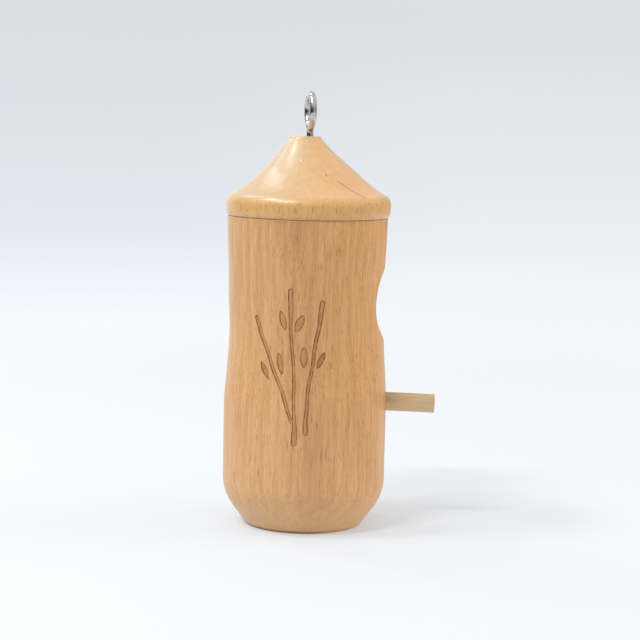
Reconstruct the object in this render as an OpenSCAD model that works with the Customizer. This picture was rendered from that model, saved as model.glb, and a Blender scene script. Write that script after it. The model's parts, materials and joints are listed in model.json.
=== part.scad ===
// Turned wooden nest house for very small birds. It hangs from a screw eye or stands on its foot.
// The origin is the centre of the foot, +Z is up, and the entrance and the perch face +X.
// The sprig is engraved on the front, which faces -Y.

/* [Body] */
// Height of the body, from its foot to the seam under the roof
body_h = 131.3; // [120:0.1:150]
// Outer radius of the belly, the widest part
belly_r = 34.8; // [34:0.1:40]
// Outer radius of the waist
waist_r = 33.1; // [32:0.1:34]
// Outer radius at the top edge
neck_r = 34; // [33:0.1:35]
// Height at which the belly starts to narrow
belly_top = 51; // [45:1:60]
// Height at which the waist starts
waist_low = 85; // [75:1:90]
// Height at which the waist ends
waist_high = 100; // [95:1:110]
// Radius of the flat foot
foot_r = 25; // [22:0.1:30]
// Angle of the foot's side from upright, in degrees
foot_slant = 36; // [25:1:45]
// Radius of the rounding between the foot's side and the belly
shoulder_r = 21; // [5:1:25]

/* [Cavity and holes] */
// Radius of the bored nest cavity
cavity_r = 26; // [20:0.5:27]
// Thickness of the floor under the cavity
floor_t = 14; // [8:1:20]
// Radius of the entrance hole
entrance_r = 15; // [12:0.5:17]
// Height of the entrance hole's axis
entrance_z = 95; // [85:1:100]

/* [Roof] */
// Height of the roof, from the seam to its flat tip
roof_h = 33.5; // [28:0.5:40]
// Radius of the roof at its rim
rim_r = 35; // [34.5:0.5:38]
// Height of the rim's widest line above the seam
rim_z = 5.2; // [3:0.1:6]
// Radius of the rounding at the top of the rim
rim_round = 5; // [3:0.5:6]
// Radius of the flat tip
tip_r = 6.6; // [4:0.1:8]
// Length of the plug that holds the roof in the cavity's mouth
plug_l = 9; // [6:0.5:12]
// Radial clearance between the plug and the cavity
plug_gap = 0.1; // [0.05:0.05:0.3]

/* [Perch] */
// Diameter of the dowel
perch_d = 8; // [6:0.5:10]
// Length of the dowel outside the body
perch_out = 20.7; // [15:0.1:40]
// Length of the dowel inside the wall
perch_in = 8.5; // [6:0.1:8.9]
// Height of the dowel's axis where it leaves the body
perch_z = 52.9; // [45:0.1:60]
// Downward slope of the dowel, in degrees
perch_droop = 1.5; // [0:0.1:3]

/* [Screw eye] */
// Outer diameter of the eye
eye_d = 17; // [14:0.5:20]
// Diameter of the wire
wire_d = 3; // [2:0.1:3.5]
// Height of the eye's lowest point above the roof's tip
eye_lift = 2.2; // [1:0.1:4]
// Turn of the eye's plane from the YZ plane, in degrees
eye_turn = -170; // [-180:1:180]
// Length of the screw in the roof
screw_l = 14; // [10:0.5:18]
// Distance between two thread crests
pitch = 1.4; // [1:0.1:2]

/* [Engraving] */
// Depth of the engraved sprig
groove_t = 0.3; // [0.2:0.05:0.6]
// Turn of the sprig's middle from the front, in degrees
sprig_turn = -11; // [-20:1:20]
// Height of the sprig's lowest point
sprig_z = 38.4; // [30:0.1:45]

/* [Hidden] */
$fn = 96;

WOOD = "burlywood";
ROOF_WOOD = "tan";
DOWEL = "khaki";
STEEL = "silver";

CUT = 1; // how far a cutting tool runs past a face
EDGE = 0.5; // small chamfer on the turned edges
FIT_GAP = 0.05; // radial clearance round the dowel and round the screw's crests
SHOULDER_STEPS = 8;
WAIST_STEPS = 6;
RIM_STEPS = 5;
FLANK_STEPS = 9;
EYE_ARC = 340; // how far round the wire of the eye goes, in degrees

side_h = (belly_r - shoulder_r * (1 - cos(foot_slant)) - foot_r) / tan(foot_slant);
shoulder_top = side_h + shoulder_r * sin(foot_slant);
roof_top = body_h + roof_h;
eye_r = (eye_d - wire_d) / 2;
eye_z = roof_top + eye_lift + eye_d / 2;
root_r = wire_d / 2 - 0.35;
crest_r = wire_d / 2 + 0.15;

function ease(t) = t * t * (3 - 2 * t);
function mix(a, b, t) = a + (b - a) * t;

// Outer radius of the body at height z
function body_r(z) =
    z < side_h ? foot_r + z * tan(foot_slant) :
    z < shoulder_top ? belly_r - shoulder_r + sqrt(pow(shoulder_r, 2) - pow(shoulder_top - z, 2)) :
    z < belly_top ? belly_r :
    z < waist_low ? mix(belly_r, waist_r, ease((z - belly_top) / (waist_low - belly_top))) :
    z < waist_high ? waist_r :
    mix(waist_r, neck_r, ease((z - waist_high) / (body_h - waist_high)));

// Heights at which the body's outline has a point, from the foot to the neck
body_heights = concat(
    [0],
    [for (i = [0:SHOULDER_STEPS]) mix(side_h, shoulder_top, i / SHOULDER_STEPS)],
    [for (i = [0:WAIST_STEPS]) mix(belly_top, waist_low, i / WAIST_STEPS)],
    [for (i = [0:WAIST_STEPS - 1]) mix(waist_high, body_h, i / WAIST_STEPS)]
);

// The body's solid before it is bored, with its surface moved in by depth
module body_blank(depth = 0) {
    rotate_extrude() polygon(concat(
        [[0, 0]],
        [for (z = body_heights) [body_r(z) - depth, z]],
        [[neck_r - depth, body_h - EDGE], [neck_r - EDGE - depth, body_h], [0, body_h]]
    ));
}

// A curve point with its start, its two handles and its end
function bezier(a, b, c, d, t) =
    a * pow(1 - t, 3) + 3 * b * t * pow(1 - t, 2) + 3 * c * t * t * (1 - t) + d * pow(t, 3);

// A direction turned by an angle
function turned(v, a) = [v.x * cos(a) - v.y * sin(a), v.x * sin(a) + v.y * cos(a)];

// One engraved line: a band of changing width round a curve, with rounded ends
module stroke(points, width_start, width_mid, width_end) {
    steps = 7;
    middle = [for (i = [0:steps]) bezier(points[0], points[1], points[2], points[3], i / steps)];
    radii = [for (i = [0:steps]) let (t = i / steps)
        (t < 0.5 ? mix(width_start, width_mid, ease(2 * t)) : mix(width_mid, width_end, ease(2 * t - 1))) / 2];
    ahead = [for (i = [0:steps]) let (d = middle[min(i + 1, steps)] - middle[max(i - 1, 0)]) d / norm(d)];
    polygon([
        for (i = [0:steps]) middle[i] + turned(ahead[i], 90) * radii[i],
        for (a = [60:-30:-60]) middle[steps] + turned(ahead[steps], a) * radii[steps],
        for (i = [steps:-1:0]) middle[i] + turned(ahead[i], -90) * radii[i],
        for (a = [-120:-30:-240]) middle[0] + turned(ahead[0], a) * radii[0]
    ]);
}

// One engraved leaf, pointed at both ends
module leaf(centre, length, width, lean) {
    steps = 8;
    side = [for (i = [0:steps]) let (t = i / steps) [width / 2 * sin(180 * t), length * (t - 0.5)]];
    translate(centre) rotate(lean) polygon(concat(side, [for (i = [steps - 1:-1:1]) [-side[i].x, side[i].y]]));
}

// The sprig, drawn flat: x to the right, y up, its lowest point at the origin
module sprig() {
    stroke([[2.8, 1.6], [3.5, 22.5], [0, 43.3], [0, 64.1]], 2.3, 1.3, 2);
    stroke([[1.7, 10.1], [-2.5, 24.2], [-10.3, 38.3], [-14.7, 52.4]], 1.3, 1.5, 1.8);
    stroke([[7.5, 5.9], [7.1, 23.8], [10.8, 41.7], [12.9, 59.6]], 2, 1.4, 1.9);
    leaf([-3, 51.8], 8.1, 2.6, 15);
    leaf([3.9, 50.8], 7.2, 3.2, -23);
    leaf([-10.4, 30.8], 7.9, 2.3, 28);
    leaf([-3.8, 34.1], 8.8, 2.5, 12);
    leaf([6, 37], 8.4, 2.9, 1);
    leaf([12.8, 35.9], 7, 2.2, -22);
}

module engraving() {
    intersection() {
        rotate([0, 0, sprig_turn])
            translate([0, 0, sprig_z])
                rotate([90, 0, 0])
                    linear_extrude(belly_r + CUT)
                        sprig();
        difference() {
            body_blank(-CUT);
            body_blank(groove_t);
        }
    }
}

// A cylinder along the dowel's axis, counted from where the dowel leaves the body
module along_perch(radius, start, end) {
    translate([belly_r, 0, perch_z])
        rotate([0, 90 + perch_droop, 0])
            translate([0, 0, start])
                cylinder(r = radius, h = end - start);
}

module nest_body() {
    color(WOOD)
        difference() {
            body_blank();
            translate([0, 0, floor_t]) cylinder(r = cavity_r, h = body_h);
            translate([0, 0, entrance_z]) rotate([0, 90, 0]) cylinder(r = entrance_r, h = belly_r + CUT);
            along_perch(perch_d / 2 + FIT_GAP, -belly_r / 2, perch_out);
            engraving();
        }
}

// Where the rim's rounding meets the flank
rim_end = 55;
shoulder = [
    rim_r - rim_round + rim_round * cos(rim_end),
    body_h + rim_z + rim_round * sin(rim_end)
];
flank_end = [tip_r + EDGE / 2, roof_top - EDGE];

module roof() {
    plug_r = cavity_r - plug_gap;
    rim = [for (i = [0:RIM_STEPS]) let (a = rim_end * i / RIM_STEPS)
        [rim_r - rim_round + rim_round * cos(a), body_h + rim_z + rim_round * sin(a)]];
    flank = [for (i = [1:FLANK_STEPS])
        bezier(shoulder, shoulder + [-10, 5], flank_end + [6, -7], flank_end, i / FLANK_STEPS)];
    color(ROOF_WOOD)
        difference() {
            rotate_extrude() polygon(concat(
                [[0, body_h - plug_l], [plug_r - EDGE, body_h - plug_l], [plug_r, body_h - plug_l + EDGE]],
                [[plug_r, body_h], [rim_r - 2 * EDGE, body_h], [rim_r - EDGE, body_h + EDGE]],
                rim,
                flank,
                [[tip_r - EDGE, roof_top], [0, roof_top]]
            ));
            translate([0, 0, roof_top - screw_l]) cylinder(r = crest_r + FIT_GAP, h = screw_l + CUT);
        }
}

module perch() {
    color(DOWEL)
        translate([belly_r, 0, perch_z])
            rotate([0, 90 + perch_droop, 0])
                rotate_extrude() polygon([
                    [0, -perch_in],
                    [perch_d / 2 - EDGE, -perch_in],
                    [perch_d / 2, EDGE - perch_in],
                    [perch_d / 2, perch_out - EDGE / 2],
                    [perch_d / 2 - EDGE / 2, perch_out],
                    [0, perch_out]
                ]);
}

// The screw's shank: ring-shaped crests up to just under the roof's tip, then plain wire
module screw() {
    tip = roof_top - screw_l + EDGE;
    crests = floor((screw_l - 4) / pitch);
    rotate_extrude() polygon(concat(
        [[0, tip], [root_r, tip + 1.5]],
        [for (i = [0:crests - 1], p = [0:1])
            [p == 0 ? root_r : crest_r, tip + 1.5 + pitch * (i + 0.25 + p / 2)]],
        [[wire_d / 2, roof_top - 0.8], [wire_d / 2, eye_z - eye_r], [0, eye_z - eye_r]]
    ));
}

// The wire starts at the shank, goes once round and stops just short of it
module screw_eye() {
    color(STEEL)
        rotate([0, 0, eye_turn]) {
            screw();
            translate([0, 0, eye_z])
                rotate([90, 0, 90])
                    rotate([0, 0, -90])
                        rotate_extrude(angle = EYE_ARC)
                            translate([eye_r, 0])
                                circle(d = wire_d);
        }
}

nest_body();
roof();
perch();
screw_eye();
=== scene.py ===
"""The looks of a turned wooden nest house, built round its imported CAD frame.

The mesh code works in millimetres, and mesh_object() turns them into metres. A turn is an angle
round the house in radians, from the front (-Y) towards the entrance (+X).
"""

import json
import math

import bpy
import numpy as np
from mathutils import Matrix, Vector


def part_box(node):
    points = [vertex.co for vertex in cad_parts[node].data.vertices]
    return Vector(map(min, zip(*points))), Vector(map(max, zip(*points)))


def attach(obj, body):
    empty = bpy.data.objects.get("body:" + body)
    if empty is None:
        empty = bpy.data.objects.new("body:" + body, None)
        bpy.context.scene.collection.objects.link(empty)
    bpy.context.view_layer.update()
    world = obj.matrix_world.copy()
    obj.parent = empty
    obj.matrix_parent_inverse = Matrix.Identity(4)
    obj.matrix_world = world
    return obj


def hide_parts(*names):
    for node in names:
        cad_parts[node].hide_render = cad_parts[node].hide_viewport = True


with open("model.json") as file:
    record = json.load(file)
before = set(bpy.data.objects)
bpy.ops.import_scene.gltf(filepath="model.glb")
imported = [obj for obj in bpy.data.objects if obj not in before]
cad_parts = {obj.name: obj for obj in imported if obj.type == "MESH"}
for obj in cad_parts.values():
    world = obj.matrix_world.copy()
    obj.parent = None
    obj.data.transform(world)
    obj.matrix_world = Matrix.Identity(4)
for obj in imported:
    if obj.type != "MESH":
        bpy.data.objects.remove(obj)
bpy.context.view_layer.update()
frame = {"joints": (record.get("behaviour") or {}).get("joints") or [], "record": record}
random = np.random.default_rng(7)

MM = 0.001
TINY = 1e-6
FAR = 5.0  # distance, in mm, that stands for "nowhere near" a mark


# ---- sizes, in millimetres


def box_mm(node):
    """Lowest and highest corner of a CAD node."""
    low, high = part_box(node)
    return np.array(low) / MM, np.array(high) / MM


_, body_high = box_mm("nest_body")
roof_low, roof_high = box_mm("roof")
perch_low, perch_high = box_mm("perch")
eye_low, eye_high = box_mm("screw_eye")

BODY_TOP = body_high[2]
BELLY_R = 34.8
WAIST_R = 33.1
NECK_R = 34
FOOT_R = 25
FOOT_SLANT = math.radians(36)
FOOT_EDGE = 0.7
FOOT_EDGE_R = FOOT_R - 0.6
SHOULDER_R = 21
SIDE_H = (BELLY_R - SHOULDER_R * (1 - math.cos(FOOT_SLANT)) - FOOT_R) / math.tan(FOOT_SLANT)
SHOULDER_TOP = SIDE_H + SHOULDER_R * math.sin(FOOT_SLANT)
BELLY_TOP = 51
WAIST_LOW = 85
WAIST_HIGH = 100
BORE_R = 26
BORE_FLOOR = 14
LIP = 0.5
OUT_OF_ROUND = 0.05

ENTRANCE_R = 15
ENTRANCE_Z = 95
ENTRANCE_ROUNDING = 0.9

ROOF_TOP = roof_high[2]
RIM_R = 34.9
RIM_Z = BODY_TOP + 5.2
RIM_ROUNDING = 5
RIM_ARC = math.radians(55)
SEAM_Z = BODY_TOP + 0.03
TIP_R = 6.6
PLUG_Z = roof_low[2]
PLUG_R = BORE_R - 0.1

DOWEL_R = 4
DOWEL_GAP = 0.05
DOWEL_EDGE = 0.3

WIRE_R = 1.5
RING_R = 7
RING_Z = eye_high[2] - WIRE_R - RING_R
BEND_Z = RING_Z - RING_R - 2.2
RING_START = math.radians(30)
RING_GAP = math.radians(12)
SCREW_END = eye_low[2]
THREAD_PITCH = 1.4
THREAD_ROOT = WIRE_R - 0.35
THREAD_CREST = WIRE_R + 0.13

SPRIG_TURN = math.radians(-11)
SPRIG_Z = 38.4
GROOVE = 0.3


# ---- small helpers


def smooth(value, low, high):
    """0 below low, 1 above high, and a soft step between them."""
    t = np.clip((value - low) / (high - low), 0, 1)
    return t * t * (3 - 2 * t)


def bezier(points, t):
    """Points at t along a curve given by its start, two handles and its end."""
    a, b, c, d = (np.array(p, float) for p in points)
    t = np.asarray(t, float)[:, None]
    return a * (1 - t) ** 3 + 3 * b * t * (1 - t) ** 2 + 3 * c * t * t * (1 - t) + d * t**3


def arc(centre, radius, start, end, steps):
    """Points (radius, height) on an arc between two angles in degrees."""
    angle = np.radians(np.linspace(start, end, steps + 1))
    return np.stack([centre[0] + radius * np.cos(angle), centre[1] + radius * np.sin(angle)], 1)


def line(start, end, step):
    """Points from start to end, at most step apart, without the last one."""
    start, end = np.array(start, float), np.array(end, float)
    count = max(1, math.ceil(np.linalg.norm(end - start) / step))
    return start + (end - start) * np.arange(count)[:, None] / count


def round_points(turns, radius, z):
    """Points at those turns, radii and heights."""
    turns, radius, z = np.broadcast_arrays(turns, radius, z)
    return np.stack([radius * np.sin(turns), -radius * np.cos(turns), z], -1)


def refine(values, step):
    """Values with more of them between each two, at most step apart, and where the old ones are."""
    counts = np.maximum(1, np.ceil(np.diff(values) / step - TINY)).astype(int)
    marks = np.concatenate([[0], np.cumsum(counts)])
    return np.interp(np.arange(marks[-1] + 1), marks, values), marks


class Shell:
    """The points and faces of one closed surface, with a few numbers kept at each point."""

    def __init__(self, **defaults):
        self.defaults = defaults
        self.points = []
        self.values = {name: [] for name in defaults}
        self.count = 0
        self.faces = []

    def add(self, points, **values):
        """Adds points of shape (..., 3) and returns their numbers in the same shape."""
        points = np.asarray(points, float)
        shape = points.shape[:-1]
        self.points.append(points.reshape(-1, 3))
        for name, default in self.defaults.items():
            value = np.broadcast_to(values.get(name, default), shape)
            self.values[name].append(value.reshape(-1))
        first = self.count
        self.count += int(np.prod(shape))
        return first + np.arange(self.count - first).reshape(shape)

    def skin(self, index, closed=False, flip=False):
        """Fills a grid of numbers with four-sided faces; closed joins its last column to its first."""
        if closed:
            index = np.concatenate([index, index[:, :1]], axis=1)
        corners = (index[:-1, :-1], index[:-1, 1:], index[1:, 1:], index[1:, :-1])
        if flip:
            corners = corners[::-1]
        self.faces += np.stack(corners, -1).reshape(-1, 4).tolist()

    def fan(self, loop, centre, flip=False, **values):
        """Closes a loop of numbers with triangles to one point in its middle."""
        middle = int(self.add(np.array([centre]), **values)[0])
        for a, b in zip(loop, np.roll(loop, -1)):
            self.faces.append([b, a, middle] if flip else [a, b, middle])


def mesh_object(name, shell, material, sharp=40):
    """A Blender object from a shell, shaded smooth except at edges sharper than that many degrees."""
    lengths = [len(face) for face in shell.faces]
    flat = np.concatenate([np.asarray(face) for face in shell.faces])
    used, flat = np.unique(flat, return_inverse=True)
    corners = np.split(flat, np.cumsum(lengths)[:-1])
    points = np.concatenate(shell.points)[used]
    mesh = bpy.data.meshes.new(name)
    mesh.from_pydata((points * MM).tolist(), [], [c.tolist() for c in corners])
    for key, parts in shell.values.items():
        layer = mesh.attributes.new(key, "FLOAT", "POINT")
        layer.data.foreach_set("value", np.concatenate(parts)[used].astype(np.float32))
    mesh.materials.append(material)
    mesh.polygons.foreach_set("use_smooth", np.ones(len(mesh.polygons), bool))
    mesh.set_sharp_from_angle(angle=math.radians(sharp))
    mesh.update()
    made = bpy.data.objects.new(name, mesh)
    bpy.context.scene.collection.objects.link(made)
    return made


# ---- materials


def srgb(red, green, blue):
    """A colour as it looks on a screen, from 0 to 255, in Blender's own linear values."""
    parts = [c / 255 for c in (red, green, blue)]
    return (*[c / 12.92 if c <= 0.04045 else ((c + 0.055) / 1.055) ** 2.4 for c in parts], 1.0)


class Tree:
    """A node tree built with short calls. A value is a number, a colour or another node's output."""

    def __init__(self, owner):
        owner.use_nodes = True
        self.nodes = owner.node_tree.nodes
        self.links = owner.node_tree.links

    def node(self, kind, values=None, **settings):
        """A new node of a kind, with values for its inputs and settings of its own."""
        made = self.nodes.new("ShaderNode" + kind)
        for key, value in settings.items():
            setattr(made, key, value)
        for key, value in (values or {}).items():
            self.feed(made.inputs[key], value)
        return made

    def feed(self, socket, value):
        """Links a socket to an output, or sets its value."""
        if isinstance(value, bpy.types.NodeSocket):
            self.links.new(value, socket)
        else:
            socket.default_value = value

    def math(self, operation, *values):
        """The number that an operation makes of the values."""
        return self.node("Math", dict(enumerate(values)), operation=operation).outputs[0]

    def vector(self, operation, *values):
        """What an operation makes of the vectors: a vector, or a number for a length or a dot product."""
        made = self.node("VectorMath", dict(enumerate(values)), operation=operation)
        return made.outputs["Value" if operation in ("LENGTH", "DOT_PRODUCT") else "Vector"]

    def scaled(self, vector, factor):
        """A vector times a number."""
        made = self.node("VectorMath", {"Vector": vector, "Scale": factor}, operation="SCALE")
        return made.outputs["Vector"]

    def step(self, value, low, high, start=0.0, end=1.0):
        """A soft step from start to end as value goes from low to high."""
        inputs = {"Value": value, "From Min": low, "From Max": high, "To Min": start, "To Max": end}
        return self.node("MapRange", inputs, interpolation_type="SMOOTHSTEP").outputs["Result"]

    def mix(self, factor, a, b, blend="MIX"):
        """a where factor is 0 and b where it is 1."""
        made = self.node("Mix", data_type="RGBA", blend_type=blend)
        for socket, value in ((0, factor), (6, a), (7, b)):
            self.feed(made.inputs[socket], value)
        return made.outputs[2]

    def noise(self, vector, detail=2.0, roughness=0.5, scale=5.0, coloured=False):
        """Noise as a number, or as a colour."""
        inputs = {"Vector": vector, "Scale": scale, "Detail": detail, "Roughness": roughness}
        return self.node("TexNoise", inputs).outputs["Color" if coloured else 0]

    def here(self):
        """The place on the object, in metres."""
        return self.node("TexCoord").outputs["Object"]

    def axes(self, vector):
        """The three numbers of a vector."""
        return self.node("SeparateXYZ", {0: vector}).outputs[:3]

    def product(self, first, *others):
        """Numbers multiplied together."""
        for other in others:
            first = self.math("MULTIPLY", first, other)
        return first

    def bump(self, height, strength, depth):
        """The normal of a surface that stands up by a height times depth, in mm."""
        inputs = {"Strength": strength, "Distance": depth * MM, "Height": height}
        return self.node("Bump", inputs).outputs[0]

    def shade(self, values):
        """Feeds values to the inputs of the material's own shader, which it returns."""
        shader = self.nodes["Principled BSDF"]
        for key, value in values.items():
            self.feed(shader.inputs[key], value)
        return shader.outputs[0]

    def show(self, output):
        """Makes an output the material's surface."""
        self.links.new(output, self.nodes["Material Output"].inputs["Surface"])

    def kept(self, name):
        """The number that the mesh keeps at each point under that name."""
        return self.node("Attribute", attribute_name=name).outputs["Fac"]


def new_material(name):
    """A new material and its node tree."""
    material = bpy.data.materials.new(name)
    return material, Tree(material)


def grown_wood(tree, along, tones, pith, wear):
    """Wood as it grew, through the whole solid: rings round a pith, and fibres and pores along the grain.

    along is the grain's axis, 0 for X and 2 for Z. tones are the light and deep wood and its fine lines.
    wear is how strongly the bands, the fibres and the fine lines show. Returns the colour, the pores and
    the fibres.
    """
    light, deep, dark_line = tones
    band_share, fibre_share, line_share = wear
    place = tree.scaled(tree.here(), 1 / MM)

    def stretched(vector, across, length):
        scale = [1 / across] * 3
        scale[along] = 1 / length
        return tree.vector("MULTIPLY", vector, scale)

    def rings(width, detail):
        inputs = {"W": tree.math("DIVIDE", ring, width), "Detail": detail}
        return tree.node("TexNoise", inputs, noise_dimensions="1D").outputs[0]

    wander = tree.noise(stretched(place, 30, 150), 1, coloured=True)
    wander = tree.vector("SUBTRACT", wander, (0.5,) * 3)
    grain = tree.vector("ADD", place, tree.scaled(wander, 2.4))
    lengthwise = [0.0, 0.0, 0.0]
    lengthwise[along] = 1.0
    lean = (0.03, 0.02, 0.0) if along == 2 else (0.0, 0.03, 0.04)
    leaning = tree.vector("ADD", grain, tree.scaled(lean, tree.vector("DOT_PRODUCT", place, lengthwise)))
    crosswise = [1 - share for share in lengthwise]
    across = tree.vector("MULTIPLY", tree.vector("SUBTRACT", leaning, pith), crosswise)
    ring = tree.vector("LENGTH", across)

    band = rings(6.0, 1.0)
    year = rings(1.3, 2.0)
    cloud = tree.noise(stretched(grain, 10, 140), 2)
    fibre = tree.noise(stretched(grain, 0.55, 30), 3, 0.6)
    cord = tree.noise(stretched(grain, 1.7, 70), 2, 0.55)
    streak = tree.noise(stretched(grain, 0.9, 44), 1, 0.5)

    layers = (
        (cloud, 0.34, 0.66, band_share, deep),
        (band, 0.4, 0.7, band_share * 0.6, deep),
        (year, 0.5, 0.75, band_share * 0.35, deep),
        (cord, 0.4, 0.7, fibre_share * 0.8, deep),
        (fibre, 0.35, 0.7, fibre_share, deep),
        (streak, 0.62, 0.74, line_share, dark_line),
    )
    colour = light
    for texture, low, high, share, tone in layers:
        colour = tree.mix(tree.step(texture, low, high, 0.0, share), colour, tone)

    cells = tree.node("TexVoronoi", {"Vector": stretched(grain, 1.0, 13), "Scale": 1.0})
    core = tree.step(cells.outputs["Distance"], 0.08, 0.2, 1.0, 0.0)
    chosen = tree.step(tree.node("SeparateColor", {0: cells.outputs["Color"]}).outputs[0], 0.4, 0.65)
    pores = tree.product(core, chosen)
    colour = tree.mix(tree.product(pores, line_share), colour, dark_line)
    return colour, pores, fibre


def finish_wood(tree, colour, height, roughness, coat, coat_roughness, bump=0.5):
    """Puts a wood colour under a thin lacquer, with the grain felt through it."""
    tree.shade({
        "Base Color": colour,
        "Roughness": roughness,
        "Normal": tree.bump(height, bump, 0.06),
        "Coat Weight": coat,
        "Coat Roughness": coat_roughness,
        "Coat IOR": 1.45,
        "Specular IOR Level": 0.4,
    })


def grain_height(tree, pores, fibre):
    """How far the surface stands up: fibres are a little raised and pores are sunk."""
    return tree.math("SUBTRACT", tree.product(fibre, 0.4), tree.product(pores, 0.7))


def tinted(tree, colour, share, red, green, blue):
    """The colour multiplied by a tint, as far as share says."""
    return tree.mix(share, colour, tree.mix(1.0, colour, (red, green, blue, 1), "MULTIPLY"))


def lane(tree, middle, width, slant, edge):
    """1 inside an upright lane across X, in mm, that slants with height, and 0 outside it."""
    place = tree.scaled(tree.here(), 1 / MM)
    x, _, z = tree.axes(place)
    bent = tree.product(tree.math("SUBTRACT", z, 90.0), slant)
    ragged = tree.noise(tree.vector("MULTIPLY", place, (0.3, 0.3, 0.012)), 2)
    wander = tree.product(tree.math("SUBTRACT", ragged, 0.5), 9.0)
    bent_x = tree.math("ADD", tree.math("ADD", x, bent), wander)
    away = tree.math("ABSOLUTE", tree.math("SUBTRACT", bent_x, middle))
    return tree.step(away, width / 2 - edge, width / 2 + edge, 1.0, 0.0)


def burnt(tree, colour):
    """The colour with the sprig burnt into it: browned, with an uneven dark edge; also how charred it is."""
    speckle = tree.noise(tree.here(), 3, scale=900.0)
    blotch = tree.noise(tree.here(), 1, scale=380.0)
    burn = tree.math("ADD", tree.kept("burn"), tree.product(tree.math("SUBTRACT", speckle, 0.5), 0.22))
    inside = tree.step(burn, -0.12, 0.06)
    edge = tree.product(inside, tree.step(burn, 0.18, 0.38, 1.0, 0.0))
    scorch = tree.step(burn, -0.45, 0.05, 0.0, 0.16)
    patchy = tree.step(tree.math("ADD", speckle, blotch), 0.8, 1.2, 0.45, 1.0)
    fill = tree.product(inside, tree.kept("dark"), patchy)
    colour = tree.mix(scorch, colour, srgb(160, 104, 62))
    colour = tree.mix(tree.product(inside, 0.2), colour, srgb(176, 104, 48))
    colour = tree.mix(tree.product(fill, 0.45), colour, srgb(116, 54, 6))
    colour = tree.mix(tree.product(edge, patchy, 0.95), colour, srgb(98, 42, 2))
    return colour, tree.math("MAXIMUM", edge, fill)


def body_wood():
    """Satin-lacquered wood with the burnt sprig, painted bounce light low down and a painted contact shadow
    along the foot's edge; raw wood in the bore and the holes.
    """
    material, tree = new_material("body_wood")
    tones = (srgb(227, 179, 123), srgb(195, 144, 89), srgb(124, 77, 40))
    colour, pores, fibre = grown_wood(tree, 2, tones, (12, 92, 0), (0.62, 0.58, 0.75))
    colour = tinted(tree, colour, tree.product(lane(tree, -2, 13, 0.08, 4), 0.9), 0.92, 0.86, 0.84)
    colour = tinted(tree, colour, tree.product(lane(tree, 22, 28, 0.05, 5), 0.8), 1.0, 0.98, 0.85)

    x, _, z = tree.axes(tree.here())
    # Painted light: the lower body is made paler and bluer towards the floor, for light bounced up from it;
    # the mix on the foot also quiets its grain.
    colour = tinted(tree, colour, tree.step(z, 10 * MM, 60 * MM, 1.0, 0.0), 1.02, 1.05, 1.12)
    colour = tree.mix(tree.step(z, 1 * MM, 22 * MM, 0.5, 0.0), colour, srgb(222, 176, 130))
    colour = tinted(tree, colour, tree.step(z, 0.0, 18 * MM, 1.0, 0.0), 1.06, 1.07, 1.06)
    # Painted contact shadow: a dark band along the foot's lowest edge, strongest on the left.
    contact_shadow_band = tree.step(z, 0.6 * MM, 1.5 * MM, 1.0, 0.0)
    contact_shadow_side = tree.step(x, -4 * MM, 16 * MM, 1.0, 0.35)
    colour = tinted(tree, colour, tree.product(contact_shadow_band, contact_shadow_side), 0.34, 0.25, 0.2)
    raw = tree.kept("raw")
    colour = tree.mix(tree.product(raw, 0.5), colour, srgb(214, 178, 136))
    colour, char = burnt(tree, colour)

    roughness = tree.math("ADD", 0.46, tree.product(tree.math("MAXIMUM", char, raw), 0.4))
    finish_wood(tree, colour, grain_height(tree, pores, fibre), roughness, 0.4, 0.32)
    return material


def roof_wood():
    """The same wood as the body, more golden and with a glossier lacquer; its rim is a little greener.
    Painted sheen pales the upper left and cools the left flank, and painted shade darkens the right flank.
    """
    material, tree = new_material("roof_wood")
    tones = (srgb(212, 171, 118), srgb(197, 150, 92), srgb(128, 84, 42))
    colour, pores, fibre = grown_wood(tree, 2, tones, (-30, 60, 0), (0.35, 0.3, 0.45))
    x, _, z = tree.axes(tree.here())
    rim = tree.step(z, (RIM_Z + 1.5) * MM, (RIM_Z + 4) * MM, 1.0, 0.0)
    colour = tinted(tree, colour, rim, 1.07, 1.04, 0.87)
    # Painted sheen: the cone's upper left is paled towards cream, for the lacquer reflecting bright light.
    pale = tree.step(z, (ROOF_TOP - 22) * MM, ROOF_TOP * MM, 0.0, 0.45)
    left = tree.step(x, -16 * MM, 6 * MM, 1.0, 0.0)
    colour = tree.mix(tree.product(pale, left), colour, srgb(228, 210, 186))
    flank = tree.math("SUBTRACT", 1.0, rim)
    # Painted sheen: the left flank is made less red and a little bluer, as the lacquer's haze makes it.
    colour = tinted(tree, colour, tree.product(left, flank), 0.84, 0.93, 1.03)
    # Painted shade: the right flank, away from the bright light, is made darker and more golden.
    right = tree.step(x, 0.0, 25 * MM)
    colour = tinted(tree, colour, tree.product(right, flank), 0.97, 0.91, 0.76)
    dashes = tree.noise(tree.vector("MULTIPLY", tree.here(), (640, 640, 60)), 0)
    dashed = tree.product(rim, tree.step(dashes, 0.67, 0.74, 0.0, 0.65))
    colour = tree.mix(dashed, colour, srgb(136, 92, 38))
    scratch = tree.step(tree.kept("scratch"), -0.34, -0.08)
    colour = tree.mix(tree.product(scratch, 0.92), colour, srgb(92, 50, 22))
    peel = tree.noise(tree.here(), 1, scale=700.0)
    height = tree.math("ADD", grain_height(tree, pores, fibre), tree.product(peel, 1.3))
    finish_wood(tree, colour, height, 0.46, 1.0, 0.27)
    return material


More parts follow.
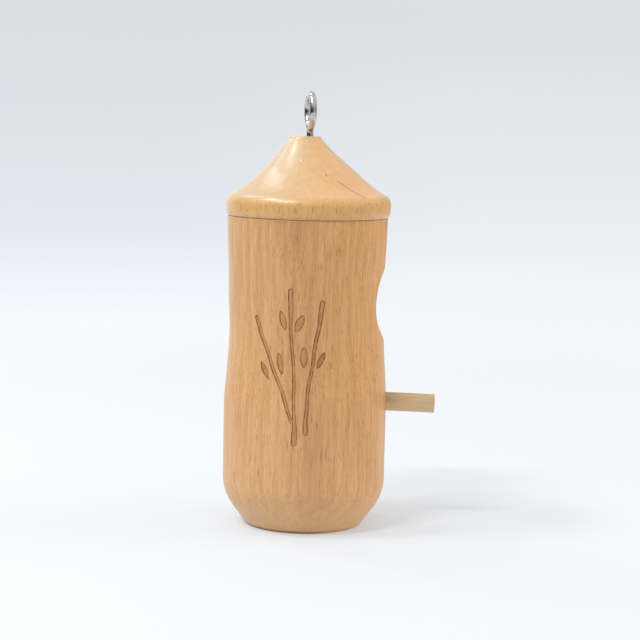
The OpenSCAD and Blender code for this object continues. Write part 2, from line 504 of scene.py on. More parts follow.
def perch_wood():
    """A bare sanded dowel, paler and greener than the body, with its grain along X; painted light from the
    floor makes it palest underneath.
    """
    material, tree = new_material("perch_wood")
    tones = (srgb(201, 177, 140), srgb(185, 157, 114), srgb(136, 106, 68))
    colour, pores, fibre = grown_wood(tree, 0, tones, (0, 22, 30), (0.5, 0.5, 0.4))
    _, _, z = tree.axes(tree.here())
    # Painted light: the underside is brightened and cooled, for light bounced up from the white floor.
    under = tree.step(z, (perch_low[2] + 1) * MM, (perch_high[2] - 2) * MM, 1.0, 0.0)
    colour = tinted(tree, colour, under, 1.34, 1.33, 1.4)
    finish_wood(tree, colour, grain_height(tree, pores, fibre), 0.6, 0.0, 0.5, 0.8)
    return material


def eye_plating():
    """Bright plated wire with faint marks along it."""
    material, tree = new_material("eye_plating")
    angle = tree.kept("angle")
    round_wire = {
        "X": tree.math("COSINE", angle),
        "Y": tree.math("SINE", angle),
        "Z": tree.math("DIVIDE", tree.kept("along"), 9.0),
    }
    marks = tree.noise(tree.node("CombineXYZ", round_wire).outputs[0], 4, 0.6)
    spots = tree.noise(tree.here(), 2, scale=500.0)
    colour = tree.mix(tree.step(spots, 0.35, 0.7), srgb(204, 203, 201), srgb(180, 178, 175))
    tree.shade({
        "Base Color": colour,
        "Roughness": tree.step(marks, 0.3, 0.7, 0.1, 0.2),
        "Normal": tree.bump(marks, 0.25, 0.03),
        "Metallic": 1.0,
    })
    return material


# ---- the burnt sprig

# Each stem: a curve across the front and up, its width at foot, middle and bud, how dark it is there,
# and the sway of the hand that drew it, as amplitude, waves along the stem and phase
STEMS = [
    {
        "curve": ((2.8, 1.6), (3.5, 22.5), (0, 43.3), (0, 64.1)),
        "width": (2.3, 1.3, 2.0), "dark": (0.75, 0.25, 0.15), "sway": (0.25, 2.1, 1.57),
    },
    {
        "curve": ((1.7, 10.1), (-2.5, 24.2), (-10.3, 38.3), (-14.7, 52.4)),
        "width": (1.3, 1.5, 1.8), "dark": (0.35, 0.4, 0.9), "sway": (0.2, 2.7, 2.6),
    },
    {
        "curve": ((7.5, 5.9), (7.1, 23.8), (10.8, 41.7), (12.9, 59.6)),
        "width": (2.0, 1.4, 1.9), "dark": (0.2, 0.6, 0.6), "sway": (0.2, 3.1, 4.2),
    },
]
# Each leaf: its centre, length, width, lean to the left in degrees, and how dark it is
LEAVES = [
    {"centre": (-3, 51.8), "length": 8.1, "width": 2.6, "lean": 15, "dark": 0.35},
    {"centre": (3.9, 50.8), "length": 7.2, "width": 3.2, "lean": -23, "dark": 0.25},
    {"centre": (-10.4, 30.8), "length": 7.9, "width": 2.3, "lean": 28, "dark": 0.8},
    {"centre": (-3.8, 34.1), "length": 8.8, "width": 2.5, "lean": 12, "dark": 0.75},
    {"centre": (6, 37), "length": 8.4, "width": 2.9, "lean": 1, "dark": 0.2},
    {"centre": (12.8, 35.9), "length": 7, "width": 2.2, "lean": -22, "dark": 0.85},
]


def sprig_discs():
    """Discs that together cover the sprig: centre, radius and darkness of each."""
    for stem in STEMS:
        t = np.linspace(0, 1, 170)
        foot, bud = 1 - smooth(t, 0.04, 0.2), smooth(t, 0.76, 0.9)
        shares = np.stack([foot, 1 - foot - bud, bud])
        centres = bezier(stem["curve"], t)
        size, waves, phase = stem["sway"]
        free = smooth(t, 0, 0.1) * (1 - smooth(t, 0.8, 1))
        centres[:, 0] += free * size * np.sin(2 * math.pi * waves * t + phase)
        yield centres, np.array(stem["width"]) @ shares / 2, np.array(stem["dark"]) @ shares
    for leaf in LEAVES:
        t = np.linspace(0.02, 0.98, 44)
        lean = math.radians(leaf["lean"])
        axis = np.array([-math.sin(lean), math.cos(lean)])
        centres = np.array(leaf["centre"]) + axis * leaf["length"] * (t[:, None] - 0.5)
        yield centres, leaf["width"] / 2 * np.sin(np.pi * t) ** 0.65, np.full(len(t), leaf["dark"])


def sprig_marks(points):
    """How far each point lies inside the sprig's edge, and the darkness of the burn there."""
    across = points[..., 0] * math.cos(SPRIG_TURN) + points[..., 1] * math.sin(SPRIG_TURN)
    up = points[..., 2] - SPRIG_Z
    inside = np.full(across.shape, -FAR)
    dark = np.zeros(across.shape)
    for centres, radii, darks in sprig_discs():
        for (x, y), radius, shade in zip(centres, radii, darks):
            depth = radius - np.hypot(across - x, up - y)
            nearer = depth > inside
            inside[nearer] = depth[nearer]
            dark[nearer] = shade
    return inside, dark


# ---- body


def body_radius(z):
    """Outer radius of the body at a height: slanting foot, rounded shoulder, belly, waist and neck."""
    drop = np.clip(SHOULDER_TOP - z, 0, SHOULDER_TOP - SIDE_H)
    shoulder = BELLY_R - SHOULDER_R + np.sqrt(SHOULDER_R**2 - drop**2)
    foot = shoulder - np.clip(SIDE_H - z, 0, SIDE_H) * math.tan(FOOT_SLANT)
    waist = (BELLY_R - WAIST_R) * smooth(z, BELLY_TOP, WAIST_LOW)
    return foot - waist + (NECK_R - WAIST_R) * smooth(z, WAIST_HIGH, BODY_TOP)


def body_lean(z):
    """How far the body's centre is off the axis: the turned piece has moved a little since."""
    return 0.2 + 0.15 * smooth(z, 52, 65) - 0.5 * smooth(z, 80, 110)


def outside_radius(turns, z):
    """Radius of the body's outside about its own centre, a trace out of round, as hand-turned wood is."""
    uneven = 0.5 + 0.25 * (np.sin(2 * turns + z / 31) + np.sin(3 * turns - z / 19 + 1.3))
    return body_radius(z) - OUT_OF_ROUND * uneven - np.abs(body_lean(z))


# A wall is its radius at a turn and height, and how far its centre is off the axis at a height
OUTSIDE = (outside_radius, body_lean)
BORE = (lambda turns, z: BORE_R + 0 * z, lambda z: 0 * z)


def wall_points(wall, turns, z):
    """Points on a wall."""
    radius_at, lean = wall
    points = round_points(turns, radius_at(turns, z), z)
    points[..., 0] += lean(z)
    return points


def wall_turn(wall, points):
    """The turn of each point about the wall's centre."""
    return np.arctan2(points[..., 0] - wall[1](points[..., 2]), -points[..., 1])


def cover(shell, index, windows, joints=None, flip=False):
    """Faces on all of a closed lattice but its windows; joints holds the extra points on finer edges."""
    joints = joints or {}
    rows, columns = index.shape
    open_cells = np.zeros((rows - 1, columns), bool)
    for (low, high), (left, right) in windows:
        open_cells[low:high, left:right] = True
    for row, column in np.argwhere(~open_cells):
        after = (column + 1) % columns
        corners = [index[row, column], index[row, after], index[row + 1, after], index[row + 1, column]]
        face = []
        for a, b in zip(corners, corners[1:] + corners[:1]):
            face += [a, *joints.get((a, b), [])]
        shell.faces.append(face[::-1] if flip else face)


def fine_window(shell, index, turns, heights, window, step):
    """Fills a window of the body's outside with a fine grid that holds the sprig's grooves.

    Returns the points that it adds between each two lattice points on the window's edge.
    """
    (low, high), (left, right) = window
    fine_turns, columns = refine(turns[left : right + 1], step / BELLY_R)
    fine_heights, rows = refine(heights[low : high + 1], step)
    z, turn = np.meshgrid(fine_heights, fine_turns, indexing="ij")
    points = wall_points(OUTSIDE, turn, z)
    inside, dark = sprig_marks(points)
    floor = smooth(inside, -0.06, 0.2) - 0.45 * smooth(inside, 0.35, 0.6) * (1 - dark)
    charred = smooth(inside, 0, 0.2) * random.uniform(-0.03, 0.03, inside.shape)
    radius = np.hypot(points[..., 0], points[..., 1])
    shrink = 1 - (GROOVE * floor + charred) / radius
    points[..., :2] *= shrink[..., None]
    fine = shell.add(points, burn=inside, dark=dark)
    fine[0, columns] = index[low, left : right + 1]
    fine[-1, columns] = index[high, left : right + 1]
    fine[rows, 0] = index[low : high + 1, left]
    fine[rows, -1] = index[low : high + 1, right]
    shell.skin(fine)
    joints = {}
    for edge, marks in ((fine[0], columns), (fine[-1], columns), (fine[:, 0], rows), (fine[:, -1], rows)):
        for a, b in zip(marks[:-1], marks[1:]):
            between = edge[a + 1 : b].tolist()
            joints[edge[a], edge[b]] = between
            joints[edge[b], edge[a]] = between[::-1]
    return joints


def rim_of(index, window):
    """What a lattice holds round a window, anticlockwise as seen from outside."""
    (low, high), (left, right) = window
    return np.concatenate([
        index[low, left:right],
        index[low:high, right],
        index[high, right:left:-1],
        index[high:low:-1, left],
    ])


class Drill:
    """A round hole through the wall along an axis, between a window outside and the same window inside."""

    def __init__(self, start, direction, radius, rounding):
        self.start = np.array(start, float)
        self.axis = np.array(direction, float)
        self.radius = radius
        self.rounding = rounding
        self.side = np.array([0.0, 1.0, 0.0])
        above = np.cross(self.axis, self.side)
        self.above = above * np.sign(above[2])

    def angles(self, points):
        """Where round the hole's axis each point lies."""
        offset = points - self.start
        return np.arctan2(offset @ self.above, offset @ self.side)

    def at(self, angle, radius, along):
        """Points round the axis at that radius and that distance along it."""
        out = np.cos(angle)[:, None] * self.side + np.sin(angle)[:, None] * self.above
        return self.start + np.asarray(along)[..., None] * self.axis + radius * out

    def meet(self, angle, radius, wall):
        """How far along the axis a line at that radius meets a wall."""
        radius_at, lean = wall
        along = np.full(angle.shape, float(BELLY_R))
        for _ in range(12):
            points = self.at(angle, radius, along)
            out = points[:, 0] - lean(points[:, 2])
            now = np.hypot(out, points[:, 1])
            along += (radius_at(wall_turn(wall, points), points[:, 2]) - now) * now / (out * self.axis[0])
        return along

    def surface_rings(self, edge, loop_points, wall, shares):
        """Rings on a wall between the hole's edge, share 0, and the window's rim, share 1."""
        start = (wall_turn(wall, edge), edge[:, 2])
        end = (wall_turn(wall, loop_points), loop_points[:, 2])
        for share in shares:
            turns, z = (a + (b - a) * share for a, b in zip(start, end))
            yield wall_points(wall, turns, z)

    def rounded(self, angle, wall, inwards, steps):
        """Rings from a wall over its rounded edge into the hole, and where along the axis they end."""
        start_radius = self.radius + self.rounding
        start = self.at(angle, start_radius, self.meet(angle, start_radius, wall))
        corner_along = self.meet(angle, self.radius, wall)
        corner = self.at(angle, self.radius, corner_along)
        end_along = corner_along + inwards * self.rounding
        end = self.at(angle, self.radius, end_along)
        shares = np.linspace(0, 1, steps + 1)
        rings = [start * (1 - t) ** 2 + 2 * corner * t * (1 - t) + end * t * t for t in shares]
        return rings, end_along


def drill_through(shell, drill, outer, inner, window):
    """Joins the window's rims on both lattices, given as (numbers, points), by a round hole."""
    outer_loop, inner_loop = rim_of(outer[0], window), rim_of(inner[0], window)
    outer_rim, inner_rim = rim_of(outer[1], window), rim_of(inner[1], window)
    angle = drill.angles(outer_rim)
    out_rings, out_along = drill.rounded(angle, OUTSIDE, -1, 5)
    in_rings, in_along = drill.rounded(angle, BORE, 1, 3)
    rows = [outer_loop]
    for ring in drill.surface_rings(out_rings[0], outer_rim, OUTSIDE, (0.72, 0.46, 0.26, 0.12, 0.04)):
        rows.append(shell.add(ring))
    for ring in out_rings:
        rows.append(shell.add(ring, raw=0.3))
    for share in np.linspace(0, 1, 9)[1:-1]:
        ring = drill.at(angle, drill.radius, out_along + (in_along - out_along) * share)
        rows.append(shell.add(ring, raw=1.0))
    for ring in in_rings[::-1]:
        rows.append(shell.add(ring, raw=1.0))
    for ring in drill.surface_rings(in_rings[0], inner_rim, BORE, (0.1, 0.35, 0.68)):
        rows.append(shell.add(ring, raw=1.0))
    rows.append(inner_loop)
    shell.skin(np.stack(rows), closed=True)


def spans(*stops):
    """Values between stops, given as (value, steps to the next one), with the last one's value left out."""
    parts = [np.linspace(a, b, steps + 1)[:-1] for (a, steps), (b, _) in zip(stops[:-1], stops[1:])]
    return np.concatenate(parts)


def window_of(turns, heights, turn_range, height_range):
    """Row and column numbers of a window whose edges are lattice lines."""
    columns = np.searchsorted(turns, np.radians(turn_range) - TINY)
    rows = np.searchsorted(heights, np.array(height_range) - TINY)
    return tuple(rows.tolist()), tuple(columns.tolist())


def close_body(shell, turns, foot_edge, outer, inner):
    """The body's underside, the lip round its mouth and the bore's floor."""
    foot = np.concatenate([[(3, 0.0), (10, 0.0), (18, 0.0)], foot_edge[:-1]])
    shift = np.array([body_lean(0), 0, 0])
    under = [shell.add(round_points(turns, r, height) + shift, raw=0.6) for r, height in foot]
    shell.skin(np.stack([*under, outer[0]]), closed=True)
    shell.fan(under[0], (0, 0, 0), flip=True, raw=0.6)

    lip = np.concatenate([
        arc((NECK_R - LIP, BODY_TOP - LIP), LIP, 20, 90, 4),
        line((NECK_R - 1.5, BODY_TOP), (BORE_R + 0.4, BODY_TOP), 1.6),
        arc((BORE_R + 0.4, BODY_TOP - 0.4), 0.4, 90, 180, 3),
    ])
    top = [shell.add(round_points(turns, r, height), raw=0.5) for r, height in lip]
    shell.skin(np.stack([outer[-1], *top, inner[-1]]), closed=True)

    floor = np.concatenate([
        arc((BORE_R - 1, BORE_FLOOR + 1), 1, 0, -90, 4),
        line((BORE_R - 3, BORE_FLOOR), (2, BORE_FLOOR), 4),
    ])
    rings = [shell.add(round_points(turns, r, height), raw=1.0) for r, height in floor]
    shell.skin(np.stack([inner[0], *rings]), closed=True)
    shell.fan(rings[-1], (0, 0, BORE_FLOOR), raw=1.0)


def make_body():
    """The turned body: a lattice outside and in the bore, with windows for the sprig and the two holes."""
    shell = Shell(burn=-FAR, dark=0.0, raw=0.0)
    foot_edge = arc((FOOT_EDGE_R, FOOT_EDGE), FOOT_EDGE, -90, -math.degrees(FOOT_SLANT), 5)
    foot_top = foot_edge[-1, 1]
    sprig_left, sprig_right, sprig_low, sprig_high = -41, 16, 37.6, 105.2
    hole_left, hole_right, hole_low, hole_high = 57, 123, 77.5, 112.5
    dowel_left, dowel_right = 78, 102
    dowel_low, dowel_high = DOWEL_START[2] - 6, DOWEL_START[2] + 6

    turns = np.radians(spans(
        (sprig_left, 17), (sprig_right, 12), (hole_left, 6), (dowel_left, 16), (dowel_right, 6),
        (hole_right, 57), (sprig_left + 360, 0),
    ))
    heights = spans(
        (foot_top, 5), (SIDE_H, 16), (SHOULDER_TOP, 8), (sprig_low, 5), (dowel_low, 12), (dowel_high, 9),
        (hole_low, 14), (sprig_high, 4), (hole_high, 9), (BODY_TOP - LIP, 1), (BODY_TOP, 0),
    )
    sprig = window_of(turns, heights, (sprig_left, sprig_right), (sprig_low, sprig_high))
    entrance = window_of(turns, heights, (hole_left, hole_right), (hole_low, hole_high))
    dowel = window_of(turns, heights, (dowel_left, dowel_right), (dowel_low, dowel_high))

    z, turn = np.meshgrid(heights, turns, indexing="ij")
    outside = wall_points(OUTSIDE, turn, z)
    outer = shell.add(outside)
    joints = fine_window(shell, outer, turns, heights, sprig, 0.22)
    cover(shell, outer, (sprig, entrance, dowel), joints)

    inside = wall_points(BORE, turn, z)
    inner = shell.add(inside, raw=1.0)
    skipped = int(np.argmax(heights >= BORE_FLOOR + 2))
    holes = [((low - skipped, high - skipped), columns) for (low, high), columns in (entrance, dowel)]
    cover(shell, inner[skipped:], holes, flip=True)

    entrance_drill = Drill((0, 0, ENTRANCE_Z), (1, 0, 0), ENTRANCE_R, ENTRANCE_ROUNDING)
    drill_through(shell, entrance_drill, (outer, outside), (inner, inside), entrance)
    dowel_axis_start = DOWEL_START - DOWEL_AXIS * (DOWEL_START[0] / DOWEL_AXIS[0])
    dowel_drill = Drill(dowel_axis_start, DOWEL_AXIS, DOWEL_R + DOWEL_GAP, 0.25)
    drill_through(shell, dowel_drill, (outer, outside), (inner, inside), dowel)

    close_body(shell, turns, foot_edge, outer, inner[skipped:])
    return mesh_object("turned_body", shell, body_wood())


# ---- roof

# The scratch on the flank, as (turn in degrees, height above the seam) points, with a gap in it
SCRATCHES = [((19.9, 18.3), (20.6, 17.7)), ((30.8, 15.5), (37.9, 12.8), (45, 9.1))]
# How much a radian and a mm of height count along a scratch: squares of lengths on the flank
SCRATCH_WEIGHTS = (600, 2)
SCRATCH_DEPTH = 0.14
# Nibs of dried lacquer: turn in degrees, height above the seam, radius and how far they stand out
NIBS = [
    (-8.3, 24, 0.5, 0.3),
    (10, 31.6, 0.6, 0.35),
    (-58, 29, 0.4, 0.2),
    (95, 18, 0.5, 0.25),
    (-140, 22, 0.5, 0.25),
]


def roof_outline():
    """(radius, height) points of the roof's section, from under its plug up to its tip."""
    shoulder = np.array([RIM_R - RIM_ROUNDING, RIM_Z])
    shoulder = shoulder + RIM_ROUNDING * np.array([math.cos(RIM_ARC), math.sin(RIM_ARC)])
    tip_edge = np.array([TIP_R + 0.35, ROOF_TOP - 0.7])
    flank = bezier((shoulder, shoulder + (-10, 5), tip_edge + (6, -7), tip_edge), np.linspace(0, 1, 105))
    rim_foot, rim_handle = (RIM_R - 0.55, SEAM_Z + 0.65), (RIM_R - 0.1, SEAM_Z + 1.4)
    rim_side = (rim_foot, rim_handle, (RIM_R, SEAM_Z + 3), (RIM_R, RIM_Z))
    return np.concatenate([
        line((3, PLUG_Z), (PLUG_R - 0.5, PLUG_Z), 4),
        arc((PLUG_R - 0.5, PLUG_Z + 0.5), 0.5, -90, 0, 4),
        line((PLUG_R, PLUG_Z + 1.2), (PLUG_R, SEAM_Z), 1.5),
        line((PLUG_R, SEAM_Z), (RIM_R - 1.6, SEAM_Z), 1.5),
        arc((RIM_R - 1.6, SEAM_Z + 1.2), 1.2, -90, -35, 5),
        bezier(rim_side, np.linspace(0.1, 1, 12)),
        arc((RIM_R - RIM_ROUNDING, RIM_Z), RIM_ROUNDING, 4, math.degrees(RIM_ARC) - 3, 12),
        flank,
        arc((TIP_R - 0.45, ROOF_TOP - 0.8), 0.8, 25, 90, 5),
    ])


def tip_shift(z):
    """How far the flank's centre is off the axis, because the cone was finished by hand."""
    return -2.1 * smooth(z, BODY_TOP + 17, BODY_TOP + 32)


def scratch_depth(turn, z, radius):
    """How near each roof point is to a scratch, in mm: 0 on its line and less away from it."""
    near = np.full(turn.shape, -FAR)
    for scratch in SCRATCHES:
        for (turn_a, z_a), (turn_b, z_b) in zip(scratch[:-1], scratch[1:]):
            along = np.array([math.radians(turn_b - turn_a), z_b - z_a])
            offset = np.stack([turn - math.radians(turn_a), z - BODY_TOP - z_a], -1)
            weighed = along * SCRATCH_WEIGHTS
            share = np.clip(offset @ weighed / (along @ weighed), 0, 1)
            miss = offset - share[..., None] * along
            near = np.maximum(near, -np.hypot(miss[..., 0] * radius, miss[..., 1] * 1.3))
    return near


def make_roof():
    """The turned roof: plug, seam edge, rounded rim, hand-finished cone and the screw's hole."""
    shell = Shell(scratch=-FAR)
    turns = np.radians(spans((-14, 155), (48, 165), (346, 0)))
    outline = roof_outline()
    radius, z = outline[:, :1], outline[:, 1:]
    turn = np.broadcast_to(turns, (len(outline), len(turns)))
    waves = 0.07 * np.sin(2 * turn + z / 5)
    waves = waves + 0.05 * np.sin(5 * turn - z / 4) + 0.04 * np.sin(3 * turn + z / 1.4)
    on_flank = smooth(z, RIM_Z + 3, RIM_Z + 8) * (1 - smooth(z, ROOF_TOP - 1.5, ROOF_TOP))
    radii = radius + on_flank * waves - 0.02
    near = scratch_depth(turn, z + 0 * turn, radii)
    near = np.where(radius > TIP_R, near, -FAR)
    radii = radii - SCRATCH_DEPTH * smooth(near, -0.32, -0.02)
    for nib_turn, nib_z, size, height in NIBS:
        away = np.hypot((turn - math.radians(nib_turn)) * radii, (z - BODY_TOP - nib_z) * 1.4)
        radii = radii + height * np.exp(-((away / size) ** 2)) * (radius > TIP_R - 1)
    points = round_points(turn, radii, z)
    points[..., 0] += tip_shift(z) * (z > RIM_Z)
    rows = [shell.add(points, scratch=near)]

    hole_r = WIRE_R + 0.06
    tip_out, tip_in = TIP_R - 0.45, hole_r + 0.15
    for share in (0.25, 0.55, 0.8, 0.93, 1.0):
        ring = round_points(turns, tip_out + (tip_in - tip_out) * share, ROOF_TOP)
        ring[:, 0] += tip_shift(ROOF_TOP) * (1 - share)
        rows.append(shell.add(ring)[None])
    hole = [
        (hole_r, ROOF_TOP - 0.15),
        (hole_r, ROOF_TOP - 1),
        (THREAD_CREST + 0.05, ROOF_TOP - 1.4),
        (THREAD_CREST + 0.05, SCREW_END - 0.4),
        (0.5, SCREW_END - 0.9),
    ]
    rows += [shell.add(round_points(turns, r, height))[None] for r, height in hole]
    shell.skin(np.concatenate(rows), closed=True)
    shell.fan(rows[-1][0], (0, 0, SCREW_END - 1))
    shell.fan(rows[0][0], (0, 0, PLUG_Z), flip=True)
    return mesh_object("turned_roof", shell, roof_wood(), sharp=50)


# ---- perch


def dowel_line():
    """The dowel's inner end, its axis and its length, from its CAD box and its joint."""
    joint = next(j for j in frame["joints"] if j["name"] == "perch_pull")
    axis = np.array(joint["axis"], float)
    axis /= np.linalg.norm(axis)
    middle = (perch_low + perch_high) / 2
    length = (perch_high[0] - perch_low[0] - 2 * DOWEL_R * abs(axis[2])) / axis[0]
    return middle - axis * length / 2, axis, length


DOWEL_END, DOWEL_AXIS, DOWEL_LENGTH = dowel_line()
DOWEL_START = DOWEL_END + DOWEL_AXIS * ((BELLY_R - DOWEL_END[0]) / DOWEL_AXIS[0])


def make_perch():
    """A sawn and sanded dowel: softened edges, faint flats from sanding, and a slightly dished end."""
    shell = Shell()
    turns = np.linspace(0, 2 * math.pi, 97)[:-1]
    edge = DOWEL_EDGE
    outline = np.concatenate([
        line((0.8, 0), (DOWEL_R - edge, 0), 0.8),
        arc((DOWEL_R - edge, edge), edge, -90, 0, 4),
        line((DOWEL_R, 0.8), (DOWEL_R, DOWEL_LENGTH - 0.8), 0.6),
        arc((DOWEL_R - edge, DOWEL_LENGTH - edge), edge, 0, 90, 4),
        line((DOWEL_R - edge - 0.4, DOWEL_LENGTH), (0.4, DOWEL_LENGTH), 0.45),
    ])
    radius, along = outline[:, :1], outline[:, 1:]
    turn = np.broadcast_to(turns, (len(outline), len(turns)))
    side = smooth(radius, DOWEL_R - 0.5, DOWEL_R)
    waves = 0.02 * np.sin(3 * turn + along / 5) + 0.015 * np.sin(7 * turn - along / 2.3)
    radii = radius + side * (waves - 0.035)
    sawn = (along > DOWEL_LENGTH / 2) * (1 - side) * (0.06 + 0.03 * np.sin(radius * np.sin(turn) * 2.6))
    above = np.cross(DOWEL_AXIS, (0, 1, 0))
    points = (
        DOWEL_END
        + (along - sawn)[..., None] * DOWEL_AXIS
        + (radii * np.cos(turn))[..., None] * np.array([0, 1.0, 0])
        + (radii * np.sin(turn))[..., None] * above
    )
    index = shell.add(points)
    shell.skin(index, closed=True, flip=True)
    shell.fan(index[0], DOWEL_END)
    shell.fan(index[-1], DOWEL_END + DOWEL_AXIS * (DOWEL_LENGTH - 0.06), flip=True)
    return mesh_object("dowel_perch", shell, perch_wood(), sharp=50)


# ---- screw eye


def wire_path():
    """(across, height) points of the wire's centre line, from the screw's point round the ring."""
    ring_start = np.array([-math.sin(RING_START), -math.cos(RING_START)]) * RING_R + (0, RING_Z)
    heading = np.array([-math.cos(RING_START), math.sin(RING_START)])
    shank = line((0, SCREW_END), (0, BEND_Z), 0.1)
    handles = ((0, BEND_Z + 1.6), ring_start - heading * 2.0)
    bend = bezier(((0, BEND_Z), *handles, ring_start), np.linspace(0, 1, 15))
    angle = np.linspace(-math.pi / 2 - RING_START, -5 * math.pi / 2 + RING_GAP, 130)[1:]
    ring = np.stack([RING_R * np.cos(angle), RING_Z + RING_R * np.sin(angle)], 1)
    return np.concatenate([shank, bend, ring])


def thread_radius(height, angle):
    """Radius of the screw's surface: a helical crest that runs out under the roof's tip."""
    phase = ((height - SCREW_END) / THREAD_PITCH - angle / (2 * math.pi)) % 1
    crest = 1 - smooth(np.abs(phase - 0.5), 0.08, 0.3)
    cut = THREAD_ROOT + (THREAD_CREST - THREAD_ROOT) * crest
    plain = smooth(height, ROOF_TOP - 4, ROOF_TOP - 2.5)
    point = smooth(height, SCREW_END - 0.6, SCREW_END + 3)
    return (cut * (1 - plain) + WIRE_R * plain) * (0.12 + 0.88 * point)


def make_eye():
    """The wire of the screw eye, bent from one length: threaded shank, ring and a cropped end."""
    shell = Shell(along=0.0, angle=0.0)
    path = wire_path()
    normal = np.array(next(m for m in frame["record"]["mounts"] if m["name"] == "hanging_eye")["axis"], float)
    across = np.cross((0, 0, 1), normal)
    ahead = np.gradient(path, axis=0)
    ahead /= np.linalg.norm(ahead, axis=1)[:, None]
    centre = path[:, :1] * across + path[:, 1:] * np.array([0, 0, 1.0])
    forward = ahead[:, :1] * across + ahead[:, 1:] * np.array([0, 0, 1.0])
    aside = np.cross(forward, normal)
    length = np.concatenate([[0], np.cumsum(np.linalg.norm(np.diff(path, axis=0), axis=1))])
    angle = np.linspace(0, 2 * math.pi, 41)[:-1]
    on_shank = (length < BEND_Z - SCREW_END)[:, None]
    radii = np.where(on_shank, thread_radius(path[:, 1:], angle), WIRE_R)
    out = np.cos(angle)[:, None] * normal + np.sin(angle)[:, None] * aside[:, None]
    points = centre[:, None] + radii[..., None] * out
    index = shell.add(points, along=length[:, None], angle=angle)
    cropped = [
        shell.add(centre[-1] + forward[-1] * push + radius * out[-1], along=length[-1], angle=angle)
        for push, radius in ((0.16, WIRE_R - 0.12), (0.24, WIRE_R - 0.35), (0.22, WIRE_R * 0.4))
    ]
    shell.skin(np.concatenate([index, np.stack(cropped)]), closed=True, flip=True)
    shell.fan(index[0], centre[0])
    shell.fan(cropped[-1], centre[-1] + forward[-1] * 0.22, flip=True)
    return mesh_object("wire_eye", shell, eye_plating(), sharp=50)


# ---- stage, light and camera

FLOOR_R = 1000
WALL_R = 1700
WALL_H = 1600


def stage_mesh(name, rings, material):
    """A surface round the Z axis through (radius, height) rings; a floor is closed inside its first ring."""
    turns = np.linspace(0, 2 * math.pi, 97)[:-1]
    shell = Shell()
    rows = [shell.add(round_points(turns, r, z)) for r, z in rings]
    shell.skin(np.stack(rows), closed=True, flip=True)
    if rings[0][0] < FLOOR_R:
        shell.faces.append(rows[0].tolist())
    made = mesh_object(name, shell, material)
    return made


# The stage's colour on the left and on the right. The first number is a height on the backdrop, in metres;
# on the floor it is a fifth of the distance from the backdrop, counted downwards.
STAGE_COLOURS = (
    (-0.1, (251, 254, 255), (247, 251, 255)),
    (-0.05, (247, 251, 255), (243, 247, 252)),
    (0.0, (240, 244, 252), (242, 246, 251)),
    (0.035, (231, 236, 244), (236, 240, 246)),
    (0.075, (225, 231, 238), (233, 236, 242)),
    (0.126, (223, 227, 234), (230, 233, 239)),
    (0.196, (221, 224, 231), (225, 229, 234)),
    (0.28, (218, 221, 227), (219, 223, 229)),
)


def stage_colour(tree):
    """White floor, then a pale grey blue that gets darker with height, a little more so on the left."""
    x, _, z = tree.axes(tree.here())
    from_wall = tree.math("SUBTRACT", tree.vector("LENGTH", tree.here()), FLOOR_R * MM)
    level = tree.math("ADD", z, tree.product(tree.math("MINIMUM", from_wall, 0.0), 0.2))
    low, high = STAGE_COLOURS[0][0], STAGE_COLOURS[-1][0]
    share = tree.math("DIVIDE", tree.math("SUBTRACT", level, low), high - low)
    sides = []
    for side in (1, 2):
        ramp = tree.node("ValToRGB", {"Fac": share})
        for number, stop in enumerate(STAGE_COLOURS):
            spot = ramp.color_ramp.elements[number] if number < 2 else ramp.color_ramp.elements.new(1.0)
            spot.position = (stop[0] - low) / (high - low)
            spot.color = srgb(*stop[side])
        sides.append(ramp.outputs["Color"])
    return tree.mix(tree.step(x, -0.2, 0.2), *sides)


def make_stage():
    """A pale floor that turns into a backdrop all round, with a painted glow: the floor glows in part near
    the house and wholly further out; the backdrop is there for the camera only.
    """
    floor, tree = new_material("floor")
    lit = tree.shade({"Base Color": srgb(202, 207, 213), "Roughness": 0.75, "Specular IOR Level": 0.2})
    glow = tree.node("Emission", {"Color": stage_colour(tree)}).outputs[0]
    share = tree.step(tree.vector("LENGTH", tree.here()), 0.4, 0.75, 0.36, 1.0)
    tree.show(tree.node("MixShader", {0: share, 1: lit, 2: glow}).outputs[0])
    stage_mesh("stage_floor", [(200, 0), (500, 0), (FLOOR_R, 0)], floor)

    wall, tree = new_material("backdrop")
    tree.show(tree.node("Emission", {"Color": stage_colour(tree)}).outputs[0])
    angle = np.linspace(0, math.pi / 2, 17)
    rings = np.stack([FLOOR_R + (WALL_R - FLOOR_R) * np.sin(angle), WALL_H * (1 - np.cos(angle))], 1)
    backdrop = stage_mesh("stage_backdrop", rings.tolist(), wall)
    for ray in ("diffuse", "glossy", "transmission", "volume_scatter", "shadow"):
        setattr(backdrop, "visible_" + ray, False)


def make_sky():
    """A bright ceiling, a pale back and right side, and a dark room behind the camera and to its left."""
    world = bpy.data.worlds.new("studio")
    bpy.context.scene.world = world
    tree = Tree(world)
    towards_x, towards_y, towards_z = tree.axes(tree.node("TexCoord").outputs["Generated"])
    room = tree.mix(tree.step(towards_x, -0.3, 0.6), (0.06, 0.06, 0.065, 1), (0.5, 0.45, 0.39, 1))
    back = tree.mix(tree.step(towards_x, -0.1, 0.4), (1.1, 1.1, 1.12, 1), (0.52, 0.44, 0.36, 1))
    beside = tree.math("ADD", tree.product(towards_y, 0.85), tree.product(towards_x, 0.5))
    horizon = tree.mix(tree.step(beside, -0.3, 0.45), room, back)
    colour = tree.mix(tree.step(towards_z, 0.12, 0.62), horizon, (0.86, 0.87, 0.9, 1))
    tree.feed(tree.nodes["Background"].inputs["Color"], colour)


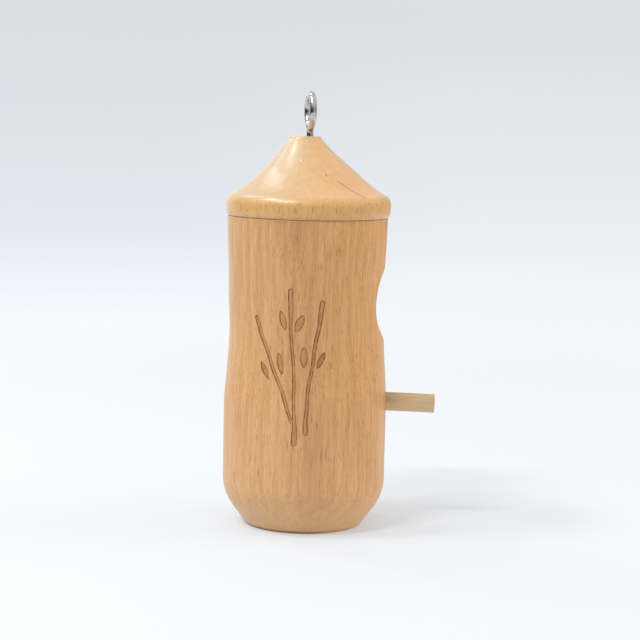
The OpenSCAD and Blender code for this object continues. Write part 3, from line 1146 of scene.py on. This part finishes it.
def softbox(name, place, size, power, colour, aim=None, glossy=True):
    """A soft light at a place in metres, its size in x and y; it shines straight down or at a point."""
    light = bpy.data.lights.new(name, "AREA")
    light.shape = "RECTANGLE"
    light.size, light.size_y = size
    light.energy = power
    light.color = colour
    lamp = bpy.data.objects.new(name, light)
    lamp.location = place
    lamp.visible_glossy = glossy
    if aim:
        lamp.rotation_euler = (Vector(aim) - Vector(place)).to_track_quat("-Z", "Y").to_euler()
    bpy.context.scene.collection.objects.link(lamp)


def make_lights():
    """Two panels over the left side cast the soft double shadow; a strip behind gives the roof's sheen."""
    softbox("left_panel", (-1.62, -0.35, 2.5), (0.47, 0.67), 36.5, (1.0, 0.985, 0.96))
    softbox("front_strip", (-1.30, -1.53, 2.5), (1.0, 0.125), 50.0, (1.0, 0.985, 0.96))
    softbox("back_strip", (-0.52, 0.48, 0.95), (0.14, 0.5), 1.4, (1.0, 0.99, 0.98), (0, 0, 0.12))
    softbox("warm_fill", (1.1, 0.15, 0.5), (0.8, 0.8), 5.2, (1.0, 0.82, 0.64), (0, 0, 0.09), glossy=False)


def make_camera():
    """A long lens a little above the roof, looking down at the front."""
    data = bpy.data.cameras.new("camera")
    data.sensor_width = 36
    data.lens = 102.8
    camera = bpy.data.objects.new("camera", data)
    pitch, roll = math.radians(-6.6), math.radians(1.25)
    turn = Matrix.Rotation(math.pi / 2 + pitch, 4, "X") @ Matrix.Rotation(roll, 4, "Z")
    camera.matrix_world = Matrix.Translation(Vector((5.9, -772, 176.5)) * MM) @ turn
    bpy.context.scene.collection.objects.link(camera)
    bpy.context.scene.camera = camera


# ---- everything together

PIECES = (
    (make_body, "house", "nest_body", "body_wood"),
    (make_roof, "roof", "roof", "roof_wood"),
    (make_perch, "perch", "perch", "perch_wood"),
    (make_eye, "eye", "screw_eye", "eye_plating"),
)
for make, body, node, slot in PIECES:
    piece = make()
    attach(piece, body)
    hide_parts(node)

make_stage()
make_sky()
make_lights()
make_camera()
bpy.context.scene.view_settings.view_transform = "Standard"
